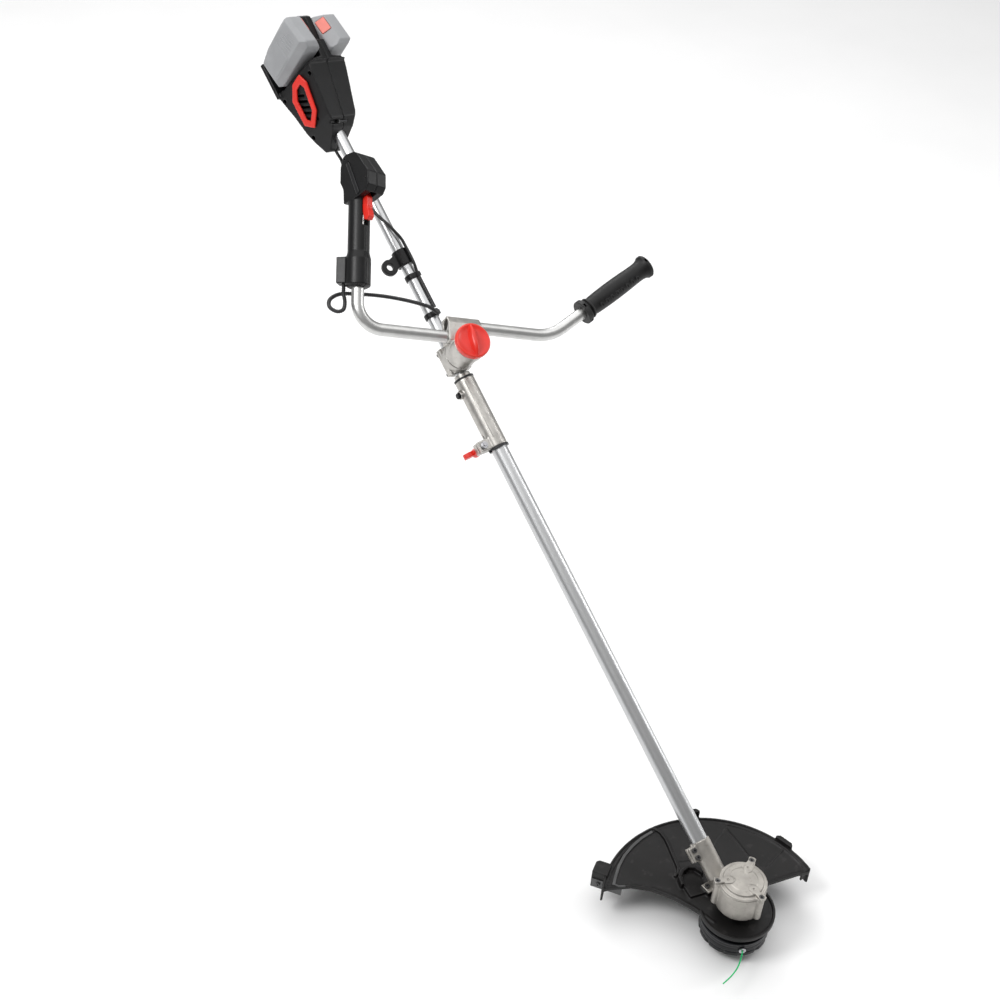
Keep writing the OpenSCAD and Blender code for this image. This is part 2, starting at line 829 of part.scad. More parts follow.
module trigger() {
    color("crimson") in_handle() difference() {
        translate([0, 0, -6]) linear_extrude(12) polygon([
            [12, head_at + 12], [21, head_at + 12], [28, head_at], [30, head_at - 18],
            [34, head_at - 34], [29, head_at - 40], [20, head_at - 38], [16, head_at - 20], [13, head_at - 4]
        ]);
        pin_places() translate([0, 0, -10]) cylinder(r = 2.05, h = 20);
        pin_places() translate([0, 0, -2.2]) cylinder(r = 4.6, h = 4.4);
        translate([35, head_at - 18, -10]) cylinder(r = 6, h = 20);
    }
}

module handle_pins() {
    color("silver") in_handle() pin_places() {
        translate([0, 0, -9.9]) cylinder(r = 1.98, h = 19.8);
        translate([0, 0, -1.8]) ring(3.6, 2.02, 3.6);
    }
}

module trigger_switch() {
    color([0.2, 0.2, 0.25]) in_handle() {
        translate([-14, head_at + 24, -12]) cube([24, 28, 24]);
        translate([10, head_at + 30, -3]) cube([4, 5, 6]);
        for (x = [-10, 2]) {
            translate([x, head_at + 52, -4]) cube([4, 6, 8]);
        }
    }
}

module lock_lever() {
    color("black") in_handle() difference() {
        translate([0, 0, -6]) linear_extrude(12) polygon([
            [-20, head_at + 29], [-28, head_at + 29], [-38, head_at + 40], [-42, head_at + 62],
            [-36, head_at + 66], [-24, head_at + 66], [-20, head_at + 60]
        ]);
        for (i = [0 : 3]) {
            translate([-42, head_at + 44 + i * 5, -10]) rotate([0, 0, 10]) cylinder(r = 1.2, h = 20);
        }
        pin_places() translate([0, 0, -10]) cylinder(r = 2.05, h = 20);
        pin_places() translate([0, 0, -2.2]) cylinder(r = 4.2, h = 4.4);
    }
}

// ---- Power unit ----

// The power unit's frame, rolled about the shaft
module in_unit() {
    in_shaft() rotate([0, unit_roll, 0]) children();
}

module unit_side() {
    polygon([
        [unit_front, -24], [unit_front + 24, 18], [unit_front + 38, 31], [1622, 49], [1650, 56],
        [1652, 62], [1692, 62], [1696, 54], [unit_back - 6, 58], [unit_back, 52], [unit_back, 16], [1728, -40],
        [1716, -50], [1646, -52], [1600, -44], [1540, -38], [unit_front + 3, -34]
    ]);
}

module unit_plan() {
    polygon([
        [-16, unit_front], [-26, unit_front + 26], [-33, 1560], [-43, 1640], [-43, 1652],
        [-34, 1653], [-34, 1656], [-spine_x, 1658], [-spine_x, unit_back], [spine_x, unit_back],
        [spine_x, 1658], [34, 1656], [34, 1653], [43, 1652], [43, 1640], [33, 1560],
        [26, unit_front + 26], [16, unit_front]
    ]);
}

module unit_side_plate(w) {
    translate([-w, 0, 0]) rotate([90, 0, 90]) linear_extrude(2 * w) children();
}

module unit_shape() {
    intersection() {
        unit_side_plate(60) unit_side();
        translate([0, 0, -80]) linear_extrude(160) unit_plan();
    }
    // Shelf under the packs and hood behind their tops
    translate([-48, 1644, -53]) cube([96, 72, 7]);
    translate([-29, unit_back - 6, 8]) cube([58, 6, 36]);
}

module unit_cavity() {
    along(upper_r, unit_front - 10, motor_at - 20);
    along(motor_r + 1, motor_at - 22, motor_at + 52);
    along(9, motor_at + 50, motor_at + motor_l + 14);
    along(4.4, motor_at + 50, motor_at + motor_l + 18);
    translate([-9, 1640, -40]) cube([18, 70, 88]);
    translate([-26, 1600, -36]) cube([52, 24, 72]);
    translate([0.3, unit_front - 6, -26]) rotate([-90, 0, 0]) cylinder(r = 3.4, h = 30);
    translate([-8, unit_front + 20, -32]) cube([16, 60, 12]);
}

module unit_screw_places() {
    in_unit() for (p = [[1546, 24.5], [1550, -33], [1636, 44], [1634, -44], [1742, 46], [1716, -36]]) {
        translate([-10, p[0], p[1]]) rotate([0, -90, 0]) children();
    }
}

// Clearance in front of a pack along its slide
module pack_room(side) {
    in_pack(side) translate([-0.1, -pack_w / 2 - 0.6, -pack_l / 2 - 2]) cube([60, 17, 240]);
}

module housing_left() {
    color([0.17, 0.17, 0.18]) difference() {
        in_unit() intersection() {
            unit_shape();
            translate([0.03, 1400, -100]) cube([100, 500, 300]);
        }
        in_unit() unit_cavity();
        pack_room(1);
        unit_screw_places() translate([0, 0, -20]) cylinder(r = 2, h = 40);
        in_unit() for (i = [0 : 4]) {
            translate([30, 1580 + i * 12, -22]) rotate([30, 0, 0]) cube([30, 4, 30]);
        }
    }
}

module housing_right() {
    color([0.16, 0.16, 0.17]) difference() {
        in_unit() intersection() {
            unit_shape();
            translate([-100, 1400, -100]) cube([99.97, 500, 300]);
        }
        in_unit() unit_cavity();
        pack_room(-1);
        unit_screw_places() {
            translate([0, 0, -20]) cylinder(r = 2, h = 40);
            cylinder(r = 3.8, h = 60);
        }
        in_unit() for (i = [0 : 4]) {
            translate([-60, 1580 + i * 12, -22]) rotate([30, 0, 0]) cube([30, 4, 30]);
        }
    }
}

module vent_frames() {
    color("crimson") in_unit() for (side = [-1, 1]) {
        mirror([side > 0 ? 0 : 1, 0, 0]) translate([0, 1560, 0]) rotate([0, 0, -7.2]) translate([33.2, 0, 0]) {
            rotate([90, 0, 90]) linear_extrude(4) difference() {
                polygon([[2, -12], [22, 14], [72, 30], [92, 24], [88, -2], [66, -24], [18, -30]]);
                polygon([[16, -11], [28, 5], [68, 18], [78, 14], [75, 0], [60, -13], [24, -18]]);
            }
        }
    }
}

module motor_stator() {
    color("peru") in_unit() {
        pipe(motor_r + 0.9, 18.6, motor_at, motor_at + motor_l);
        pipe(motor_r + 0.9, 9, motor_at - 8, motor_at - 0.1);
    }
}

module motor_rotor() {
    color("dimgray") in_unit() {
        along(18, motor_at + 2, motor_at + motor_l - 2);
        along(4, motor_at - 9.9, motor_at + motor_l + 16);
        difference() {
            along(24, motor_at + motor_l + 3, motor_at + motor_l + 6);
            for (i = [0 : 9]) {
                rotate([0, i * 36, 0]) translate([19, motor_at + motor_l, 0]) rotate([-90, 0, 0]) cylinder(r = 3, h = 10);
            }
        }
    }
}

module motor_bearings() {
    color("lightsteelblue") in_unit() {
        pipe(9, 4 + fit, motor_at - 8, motor_at - 1);
        pipe(9, 4 + fit, motor_at + motor_l + 8, motor_at + motor_l + 14);
    }
}

module controller() {
    color("darkgreen") in_unit() {
        translate([-2, 1656, -40]) cube([4, 50, 78]);
        for (side = [-1, 1]) {
            translate([side > 0 ? 2.05 : -8.05, 1666, -20]) cube([6, 30, 44]);
        }
    }
}

// A pack's own frame: X away from the spine, Y along the shaft, Z along its length
module in_pack(side) {
    in_unit() mirror([side > 0 ? 0 : 1, 0, 0]) translate([spine_x + 0.3, pack_at, pack_z]) rotate([-pack_lean, 0, 0]) {
        children();
    }
}

module pack_shape() {
    c = 12;
    w = pack_w / 2;
    l = pack_l / 2;
    intersection() {
        translate([0, 0, -l]) linear_extrude(pack_l) polygon([
            [0, -w + 4], [4, -w], [pack_h - c, -w], [pack_h, -w + c],
            [pack_h, w - c], [pack_h - c, w], [4, w], [0, w - 4]
        ]);
        translate([0, w, 0]) rotate([90, 0, 0]) linear_extrude(pack_w) polygon([
            [0, -l + 3], [3, -l], [pack_h - c, -l], [pack_h, -l + c],
            [pack_h, l - 8], [pack_h - 8, l], [15, l], [0, l - 18]
        ]);
        // Side profile: the rear edge opens toward the top
        rotate([90, 0, 90]) linear_extrude(pack_h) polygon([
            [-w, -l + 10], [-w + 8, -l], [w - 30, -l], [w - 18, -l + 12], [w, l - 34],
            [w, l - 16], [w - 10, l], [-w + 6, l], [-w, l - 8]
        ]);
    }
}

// Frame of the sloping shoulder that carries the latch button, Z out of its surface
module on_shoulder() {
    translate([0, 0, pack_l / 2 - 18]) rotate([0, -50.2, 0]) translate([2, -4, 0]) children();
}

module battery(side) {
    in_pack(side) difference() {
        pack_shape();
        on_shoulder() translate([0, 0, -7]) cube([19.5, 28, 10]);
    }
}

module latch(side) {
    in_pack(side) on_shoulder() translate([0.3, 0.3, -3]) cube([18.9, 27.4, 4]);
}

module battery_left() {
    color("lightgray") battery(1);
}

module battery_right() {
    color("lightgray") battery(-1);
}

module latch_left() {
    color("salmon") latch(1);
}

module latch_right() {
    color("salmon") latch(-1);
}

// ---- Harness eye and cables ----

module harness_eye() {
    color([0.25, 0.25, 0.26]) in_shaft(eye_at) difference() {
        union() {
            along(15, -6, 24);
            translate([-32, 0, -4]) cylinder(r = 15, h = 8);
            translate([0, 0, -3.9]) linear_extrude(7.8) polygon([[-36, -11], [-11.5, -5], [-11.5, 20], [-36, 11]]);
            translate([8, 2, -15]) cube([13, 14, 12]);
        }
        along(upper_r, -20, 40);
        translate([-32, 0, -10]) cylinder(r = 6.2, h = 20);
        translate([0, -20, -9.5]) cube([30, 60, 1.5]);
        translate([16, 9, -20]) cylinder(r = 2, h = 30);
        translate([16, 9, -3]) cylinder(r = 3.9, h = 30);
    }
}

// Round tube swept along a list of points, with rings square to the path
function unit(v) = v / norm(v);
function heading(p, i) = unit(p[min(i + 1, len(p) - 1)] - p[max(i - 1, 0)]);
function curve_point(a, b, c, d, u) =
    0.5 * (2 * b + (c - a) * u + (2 * a - 5 * b + 4 * c - d) * u * u + (3 * b - a - 3 * c + d) * u * u * u);
function smooth_path(p, steps) = [
    for (i = [0 : len(p) - 2])
        for (k = [0 : steps - 1])
            curve_point(p[max(i - 1, 0)], p[i], p[i + 1], p[min(i + 2, len(p) - 1)], k / steps),
    p[len(p) - 1]
];

module sweep_tube(p, r, sides) {
    n = len(p);
    rings = [
        for (i = [0 : n - 1])
            let (h = heading(p, i), a = unit(cross(h, [0.31, 0.2, 0.93])), b = cross(h, a))
                for (k = [0 : sides - 1])
                    p[i] + r * (cos(k * 360 / sides) * a + sin(k * 360 / sides) * b)
    ];
    faces = concat(
        [[for (k = [0 : sides - 1]) k]],
        [[for (k = [sides - 1 : -1 : 0]) (n - 1) * sides + k]],
        [
            for (i = [0 : n - 2])
                for (k = [0 : sides - 1])
                    [i * sides + k, (i + 1) * sides + k, (i + 1) * sides + (k + 1) % sides, i * sides + (k + 1) % sides]
        ]
    );
    polyhedron(points = rings, faces = faces);
}

// Cable route beside the upper tube, in the shaft's frame
cable_route = [
    [-6.9, 1524, -25], [-7.5, 1508, -24], [-9, 1494, -19], [-14, 1478, -12], [-15, 1440, -3], [-15, 1400, 0], [-13, 1370, 8],
    [-3, 1336, 16], [6, 1308, 17], [7.5, 1292, 17], [7.5, 1258, 17], [7, 1238, 13], [7, 1200, 12.4], [7, 1166, 12.4]
];
// Conduit route from the clip to the control handle, in the shaft's frame
conduit_route = [
    [7, 1163, 12.4], [2, 1154, 20], [-16, 1166, 34], [-52, 1186, 42], [-96, 1208, 46], [-136, 1226, 44],
    [-166, 1236, 44], [-190, 1232, 48], [-201, 1218, 54], [-195, 1205, 58], [-182, 1204, 58],
    [-172, 1216, 56.5], [-167.2, 1231, 57.4], [-160.6, 1245.3, 60.4], [-158.8, 1249, 61.2]
];
// Route of a line tail from the spool out through its eyelet
tail_route = [
    [0, -43.6, 38], [0, -52, 38], [0, -61, 38], [-4, -72, 38], [-15, -92, 37.5], [-30, -108, 36.5], [-46, -120, 35]
];

module control_cable() {
    color("black") in_shaft() sweep_tube(smooth_path(cable_route, 4), 2.8, 10);
}

module cable_conduit() {
    color([0.2, 0.2, 0.2]) in_shaft() sweep_tube(smooth_path(conduit_route, 5), 3.6, 10);
}

upper_tube();
coupler_sleeve();
coupler_rings();
upper_drive_shaft();
drive_coupling();
upper_shaft_bushes();
release_button();
release_spring();
wing_screw();
lower_tube();
lower_drive_shaft();
lower_shaft_bushes();
snap_pin();
gear_case();
gear_cover();
gear_case_screws();
gear_bearings();
pinion();
crown_gear();
output_shaft();
guard();
line_cutter();
head_housing();
head_cap();
line_eyelets();
spool();
wound_line();
head_spring();
bump_knob();
bracket_base();
bracket_lower();
frame_screws();
swivel_jaw();
clamp_cap();
clamp_bolt();
clamp_knob();
control_bar();
plain_bar();
plain_grip();
handle_front();
handle_back();
handle_screws();
trigger();
handle_pins();
trigger_switch();
lock_lever();
housing_left();
housing_right();
vent_frames();
motor_stator();
motor_rotor();
motor_bearings();
controller();
battery_left();
battery_right();
latch_left();
latch_right();
harness_eye();
control_cable();
cable_conduit();
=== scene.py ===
import math

import bmesh
import bpy
from mathutils import Matrix, Vector


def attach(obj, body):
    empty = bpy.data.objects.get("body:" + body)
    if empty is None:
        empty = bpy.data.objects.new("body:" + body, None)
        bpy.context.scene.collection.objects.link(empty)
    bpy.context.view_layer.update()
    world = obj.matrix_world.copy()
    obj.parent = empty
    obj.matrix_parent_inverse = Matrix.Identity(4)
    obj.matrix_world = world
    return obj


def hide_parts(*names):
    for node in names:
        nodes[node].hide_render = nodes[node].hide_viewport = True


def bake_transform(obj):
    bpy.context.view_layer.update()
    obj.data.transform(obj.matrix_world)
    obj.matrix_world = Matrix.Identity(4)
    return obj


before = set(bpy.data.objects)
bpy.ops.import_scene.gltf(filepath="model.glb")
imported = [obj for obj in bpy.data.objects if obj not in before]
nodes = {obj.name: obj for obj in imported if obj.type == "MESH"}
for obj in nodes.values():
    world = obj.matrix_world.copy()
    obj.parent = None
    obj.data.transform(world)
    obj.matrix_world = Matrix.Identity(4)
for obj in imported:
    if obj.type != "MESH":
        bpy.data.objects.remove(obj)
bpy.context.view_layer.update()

MM = 0.001


# ---- Frames of the assembly, the same as in the part's source ----

def T(x, y, z):
    """Move in millimetres."""
    return Matrix.Translation((x * MM, y * MM, z * MM))


def R(deg, axis):
    """Turn in degrees."""
    return Matrix.Rotation(math.radians(deg), 4, axis)


HERE = Matrix.Identity(4)
SHAFT = T(0, 0, 60) @ R(35, "X")
ALONG_SHAFT = SHAFT @ R(-90, "X")
UNIT = SHAFT @ R(16, "Y")
BAR = SHAFT @ T(0, 1068, 0) @ R(-25, "Z")
CONTROL = BAR @ T(-200, 15.5, 60) @ R(11, "X")
HANDLE = CONTROL @ R(-70, "Y")
PLAIN = BAR @ T(163, 38, 60) @ R(17, "X") @ R(39, "Z")
MIRROR = Matrix.Diagonal((-1, 1, 1, 1))


def pack_frame(side):
    """Frame of the battery pack on one side, 1 or -1."""
    flip = MIRROR if side < 0 else HERE
    return UNIT @ flip @ T(13.3, 1697, 20) @ R(-10, "X")


# ---- Camera, at the photograph's angle ----

right = Vector((0.8059, -0.5892, 0.0582)).normalized()
back = Vector((-0.484, -0.5989, 0.6381)).normalized()
back = (back - right * back.dot(right)).normalized()
up = back.cross(right)
camera_data = bpy.data.cameras.new("camera")
camera_data.lens = 63.756
camera_data.sensor_width = 36
camera_data.clip_end = 50
camera = bpy.data.objects.new("camera", camera_data)
camera.matrix_world = Matrix.Translation((-1.5329, -1.1798, 2.4840)) @ Matrix(
    (right, up, back)).transposed().to_4x4()
bpy.context.scene.collection.objects.link(camera)
bpy.context.scene.camera = camera


# ---- Floor and light ----

def link(obj):
    bpy.context.scene.collection.objects.link(obj)
    return obj


def area_light(name, place, target, size, power, colour=(1, 1, 1)):
    data = bpy.data.lights.new(name, "AREA")
    data.shape = "RECTANGLE"
    data.size, data.size_y = size
    data.energy = power
    data.color = colour
    lamp = link(bpy.data.objects.new(name, data))
    lamp.location = place
    lamp.rotation_euler = (Vector(target) - Vector(place)).to_track_quat("-Z", "Y").to_euler()
    return lamp


world = bpy.data.worlds.new("studio")
bpy.context.scene.world = world
world.use_nodes = True
world.node_tree.nodes["Background"].inputs["Color"].default_value = (1, 1, 1, 1)
world.node_tree.nodes["Background"].inputs["Strength"].default_value = 0.30
bpy.context.scene.view_settings.view_transform = "Standard"

CENTRE = (-0.05, 0.75, 0.5)
area_light("overhead", (0.6, 2.4, 6.0), (0.6, 2.4, 0), (9, 9), 330)
area_light("key", (-2.4, 0.9, 3.2), CENTRE, (1.3, 1.3), 62)
area_light("side", (2.4, -0.2, 1.6), CENTRE, (0.4, 2.0), 18)
area_light("rim", (0.9, 3.2, 2.4), CENTRE, (1.8, 0.5), 22)


# ---- Materials ----

# Pointiness where an edge starts to look worn, and where it is fully worn
WORN_FROM, WORN_TO = 0.525, 0.60
# Noise values between which a speck fades in
SPECK_FROM, SPECK_TO = 0.62, 0.7
BUMP_DEPTH = 0.0003
# Sockets of a Mix node in colour mode
MIX_A, MIX_B, MIX_OUT = 6, 7, 2


def material(name, colour, rough, metal=0.0, vary=0.08, scale=25.0, bump=0.0, grain=600.0,
             wear=None, turn=0.0, stretch=(1, 1, 1), edge=0.0, spread=0.08, coat=0.0, spec=0.5,
             speck=None):
    """Surface whose colour and roughness wander with noise.

    vary and scale say how much and how finely the colour wanders, spread how much the roughness
    does, and bump and grain how strong and how fine the texture is. wear is a colour and strength
    for worn edges, speck a colour, scale and strength for specks, and edge the width in mm of
    the rounding that light sees. turn and stretch lay the noise along a drawn tube.
    """
    m = bpy.data.materials.new(name)
    m.use_nodes = True
    tree = m.node_tree
    n, l = tree.nodes, tree.links
    shader = n["Principled BSDF"]
    shader.inputs["Metallic"].default_value = metal
    shader.inputs["Coat Weight"].default_value = coat
    shader.inputs["Coat Roughness"].default_value = 0.2
    shader.inputs["Specular IOR Level"].default_value = spec
    place = n.new("ShaderNodeTexCoord")
    first = n.new("ShaderNodeMapping")
    first.vector_type = "POINT"
    first.inputs["Rotation"].default_value = (math.radians(turn), 0, 0)
    l.new(place.outputs["Object"], first.inputs["Vector"])
    second = n.new("ShaderNodeMapping")
    second.inputs["Scale"].default_value = stretch
    l.new(first.outputs["Vector"], second.inputs["Vector"])

    def noise(size, detail):
        t = n.new("ShaderNodeTexNoise")
        t.inputs["Scale"].default_value = size
        t.inputs["Detail"].default_value = detail
        l.new(second.outputs["Vector"], t.inputs["Vector"])
        return t.outputs["Fac"]

    cloud = noise(scale, 4)
    ramp = n.new("ShaderNodeValToRGB")
    ramp.color_ramp.elements[0].position = 0.35
    ramp.color_ramp.elements[1].position = 0.65
    ramp.color_ramp.elements[0].color = [c * (1 - vary) for c in colour] + [1]
    ramp.color_ramp.elements[1].color = [min(1, c * (1 + vary)) for c in colour] + [1]
    l.new(cloud, ramp.inputs["Fac"])
    out = ramp.outputs["Color"]

    def mix(fac, a, b):
        x = n.new("ShaderNodeMix")
        x.data_type = "RGBA"
        l.new(fac, x.inputs["Factor"])
        l.new(a, x.inputs[MIX_A])
        x.inputs[MIX_B].default_value = list(b) + [1]
        return x.outputs[MIX_OUT]

    def band(fac, low, high, top=1.0):
        r = n.new("ShaderNodeMapRange")
        r.inputs["From Min"].default_value = low
        r.inputs["From Max"].default_value = high
        r.inputs["To Max"].default_value = top
        l.new(fac, r.inputs["Value"])
        return r.outputs["Result"]

    if speck:
        out = mix(band(noise(speck[1], 2), SPECK_FROM, SPECK_TO, speck[2]), out, speck[0])
    if wear:
        point = n.new("ShaderNodeNewGeometry")
        out = mix(band(point.outputs["Pointiness"], WORN_FROM, WORN_TO, wear[1]), out, wear[0])
    l.new(out, shader.inputs["Base Color"])
    fine = noise(scale * 5, 5)
    r = n.new("ShaderNodeMapRange")
    r.inputs["To Min"].default_value = max(0.02, rough - spread)
    r.inputs["To Max"].default_value = rough + spread
    l.new(fine, r.inputs["Value"])
    l.new(r.outputs["Result"], shader.inputs["Roughness"])
    normal = None
    if edge:
        b = n.new("ShaderNodeBevel")
        b.samples = 6
        b.inputs["Radius"].default_value = edge * MM
        normal = b.outputs["Normal"]
    if bump:
        b = n.new("ShaderNodeBump")
        b.inputs["Strength"].default_value = bump
        b.inputs["Distance"].default_value = BUMP_DEPTH
        l.new(noise(grain, 3), b.inputs["Height"])
        if normal:
            l.new(normal, b.inputs["Normal"])
        normal = b.outputs["Normal"]
    if normal:
        l.new(normal, shader.inputs["Normal"])
    return m


TUBE = material("drawn_tube", (0.56, 0.565, 0.57), 0.36, 1.0, 0.05, 18, 0.06, 900, turn=-35,
                stretch=(60, 1.2, 60), spread=0.06)
BARTUBE = material("bar_tube", (0.60, 0.60, 0.59), 0.36, 1.0, 0.05, 60, 0.08, 1500, spread=0.08)
CAST = material("cast_alloy", (0.47, 0.455, 0.43), 0.40, 1.0, 0.12, 60, 0.35, 900,
                wear=((0.80, 0.79, 0.76), 0.6), edge=0.8, speck=((0.28, 0.26, 0.24), 160, 0.35))
GEARCAST = material("gear_casting", (0.40, 0.38, 0.35), 0.46, 0.85, 0.12, 50, 0.4, 800,
                    wear=((0.72, 0.70, 0.66), 0.6), edge=0.8, speck=((0.22, 0.20, 0.18), 160, 0.35))
STEEL = material("steel", (0.5, 0.5, 0.52), 0.3, 1.0, 0.08, 80, 0.1, 900, edge=0.3)
CHROME = material("ground_steel", (0.7, 0.7, 0.72), 0.15, 1.0, 0.04, 80, 0.05, 900, edge=0.3)
SPRING = material("spring_wire", (0.42, 0.42, 0.44), 0.3, 1.0, 0.1, 100, 0.1, 900)
BLACKSCREW = material("black_oxide", (0.03, 0.03, 0.032), 0.35, 0.7, 0.2, 120, 0.2, 900, edge=0.3,
                      wear=((0.2, 0.2, 0.2), 0.4))
COPPER = material("windings", (0.55, 0.22, 0.08), 0.35, 0.9, 0.15, 100, 0.3, 700)
PLASTIC = material("housing_plastic", (0.0045, 0.0045, 0.0050), 0.38, 0, 0.25, 30, 0.28, 1600, edge=0.5,
                   wear=((0.040, 0.040, 0.043), 0.7), spread=0.06, spec=0.32)
HANDLEBLACK = material("handle_plastic", (0.0042, 0.0042, 0.0047), 0.37, 0, 0.25, 30, 0.25, 1600, edge=0.5,
                       wear=((0.040, 0.040, 0.043), 0.7), spread=0.06, spec=0.32)
GUARDBLACK = material("guard_plastic", (0.0062, 0.0056, 0.0056), 0.44, 0, 0.35, 14, 0.3, 1100, edge=0.4,
                      wear=((0.05, 0.047, 0.047), 0.7), spread=0.10,
                      speck=((0.022, 0.020, 0.020), 60, 0.6), spec=0.30)
HEADBLACK = material("head_plastic", (0.0040, 0.0045, 0.0060), 0.36, 0, 0.2, 30, 0.2, 900, edge=0.4,
                     wear=((0.03, 0.034, 0.045), 0.7), spec=0.28)
BUSH = material("bush_plastic", (0.7, 0.68, 0.62), 0.5, 0, 0.06, 60, 0.15, 800)
RED = material("red_plastic", (0.70, 0.020, 0.010), 0.34, 0, 0.06, 40, 0.12, 1200, edge=0.6,
               wear=((0.90, 0.10, 0.05), 0.5), coat=0.1)
PACK = material("pack_plastic", (0.30, 0.305, 0.315), 0.5, 0, 0.06, 25, 0.3, 1500, edge=0.6,
                wear=((0.5, 0.5, 0.52), 0.5))
LATCH = material("latch_plastic", (0.72, 0.20, 0.16), 0.42, 0, 0.06, 40, 0.15, 1300, edge=0.5,
                 wear=((0.9, 0.4, 0.34), 0.5))
RUBBER = material("grip_rubber", (0.0058, 0.0058, 0.0060), 0.46, 0, 0.3, 60, 0.5, 1300, edge=0.4,
                  wear=((0.05, 0.05, 0.05), 0.6), spec=0.32)
CABLE = material("cable_rubber", (0.010, 0.010, 0.0105), 0.38, 0, 0.15, 80, 0.1, 1200)
CONDUIT = material("conduit_plastic", (0.011, 0.011, 0.012), 0.36, 0, 0.15, 80, 0.1, 1200,
                   wear=((0.045, 0.045, 0.047), 0.6))
BOARD = material("circuit_board", (0.02, 0.12, 0.04), 0.35, 0, 0.2, 200, 0.1, 800)
LINE = material("line_nylon", (0.010, 0.52, 0.16), 0.32, 0, 0.08, 150, 0.1, 1200)

FINISH = {
    TUBE: ["upper_tube", "lower_tube"],
    BARTUBE: ["control_bar", "plain_bar"],
    CAST: ["coupler_sleeve", "clamp_cap", "bracket_base", "bracket_lower", "swivel_jaw"],
    GEARCAST: ["gear_case", "gear_cover"],
    STEEL: ["upper_drive_shaft", "drive_coupling", "lower_drive_shaft", "pinion", "crown_gear",
            "output_shaft", "motor_rotor", "clamp_bolt", "snap_pin", "handle_pins", "line_eyelets"],
    CHROME: ["gear_bearings", "motor_bearings"],
    SPRING: ["head_spring", "release_spring"],
    BLACKSCREW: ["gear_case_screws", "frame_screws", "handle_screws", "line_cutter"],
    COPPER: ["motor_stator"],
    PLASTIC: ["housing_left", "housing_right", "harness_eye", "release_button", "coupler_rings",
              "trigger_switch"],
    HANDLEBLACK: ["handle_front", "handle_back", "lock_lever"],
    GUARDBLACK: ["guard"],
    HEADBLACK: ["head_housing", "head_cap", "bump_knob", "spool"],
    BUSH: ["upper_shaft_bushes", "lower_shaft_bushes"],
    RED: ["trigger", "clamp_knob", "vent_frames", "wing_screw"],
    PACK: ["battery_left", "battery_right"],
    LATCH: ["latch_left", "latch_right"],
    RUBBER: ["plain_grip"],
    CABLE: ["control_cable"],
    CONDUIT: ["cable_conduit"],
    BOARD: ["controller"],
    LINE: ["wound_line"],
}
# Voxel size in mm of the castings and mouldings whose edges are rounded
ROUNDED = {
    "housing_left": 1.1, "housing_right": 1.1, "handle_front": 0.9, "handle_back": 0.9,
    "battery_left": 1.2, "battery_right": 1.2, "latch_left": 0.8, "latch_right": 0.8,
    "vent_frames": 0.9, "trigger": 0.8, "lock_lever": 0.8, "gear_case": 1.0, "gear_cover": 0.9,
    "coupler_sleeve": 0.9, "bracket_base": 0.9, "bracket_lower": 0.9, "swivel_jaw": 1.0,
    "clamp_cap": 0.9, "wing_screw": 0.8, "release_button": 0.7,
    "head_housing": 1.1, "head_cap": 1.1, "bump_knob": 0.9, "harness_eye": 0.8,
}
SOFTEN_STEPS = 8
WELD_GAP = 0.005 * MM
SHARP_DEG = 32


def clear_normals(mesh):
    """Drops stored normals, so that the modifiers decide the shading."""
    if "custom_normal" in mesh.attributes:
        mesh.attributes.remove(mesh.attributes["custom_normal"])
    for p in mesh.polygons:
        p.use_smooth = True


for finish, names in FINISH.items():
    for name in names:
        obj = nodes[name]
        obj.data.materials.clear()
        obj.data.materials.append(finish)
        clear_normals(obj.data)
        if name in ROUNDED:
            remesh = obj.modifiers.new("round", "REMESH")
            remesh.mode = "VOXEL"
            remesh.voxel_size = ROUNDED[name] * MM
            remesh.use_smooth_shade = True
            smooth = obj.modifiers.new("soften", "SMOOTH")
            smooth.factor = 0.5
            smooth.iterations = SOFTEN_STEPS
        else:
            weld = obj.modifiers.new("weld", "WELD")
            weld.merge_threshold = WELD_GAP
            split = obj.modifiers.new("split", "EDGE_SPLIT")
            split.split_angle = math.radians(SHARP_DEG)


# ---- Mesh helpers ----

BEVEL_DEG = 30


def finish_mesh(bm, name, frame_matrix, finish, body, angle=35, bevel=0.0, segments=2):
    """Turns a mesh in some frame into a piece with its material and body."""
    bmesh.ops.recalc_face_normals(bm, faces=bm.faces)
    bm.transform(frame_matrix)
    mesh = bpy.data.meshes.new(name)
    bm.to_mesh(mesh)
    bm.free()
    for p in mesh.polygons:
        p.use_smooth = True
    mesh.materials.append(finish)
    obj = link(bpy.data.objects.new(name, mesh))
    if bevel:
        b = obj.modifiers.new("bevel", "BEVEL")
        b.width = bevel * MM
        b.segments = segments
        b.limit_method = "ANGLE"
        b.angle_limit = math.radians(BEVEL_DEG)
        b.use_clamp_overlap = True
    if angle:
        s = obj.modifiers.new("split", "EDGE_SPLIT")
        s.split_angle = math.radians(angle)
    if body:
        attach(obj, body)
    return obj


def lathe(profile, steps=64):
    """Turned solid about Z from (radius, height) pairs in mm, closed on the axis."""
    bm = bmesh.new()
    rings = []
    for r, z in profile:
        if r < 1e-6:
            rings.append([bm.verts.new((0, 0, z * MM))])
        else:
            rings.append([bm.verts.new((r * MM * math.cos(2 * math.pi * i / steps),
                                        r * MM * math.sin(2 * math.pi * i / steps), z * MM))
                          for i in range(steps)])
    for a, b in zip(rings, rings[1:]):
        for i in range(steps):
            j = (i + 1) % steps
            if len(a) == 1 and len(b) == 1:
                continue
            if len(a) == 1:
                bm.faces.new((a[0], b[j], b[i]))
            elif len(b) == 1:
                bm.faces.new((a[i], a[j], b[0]))
            else:
                bm.faces.new((a[i], a[j], b[j], b[i]))
    return bm


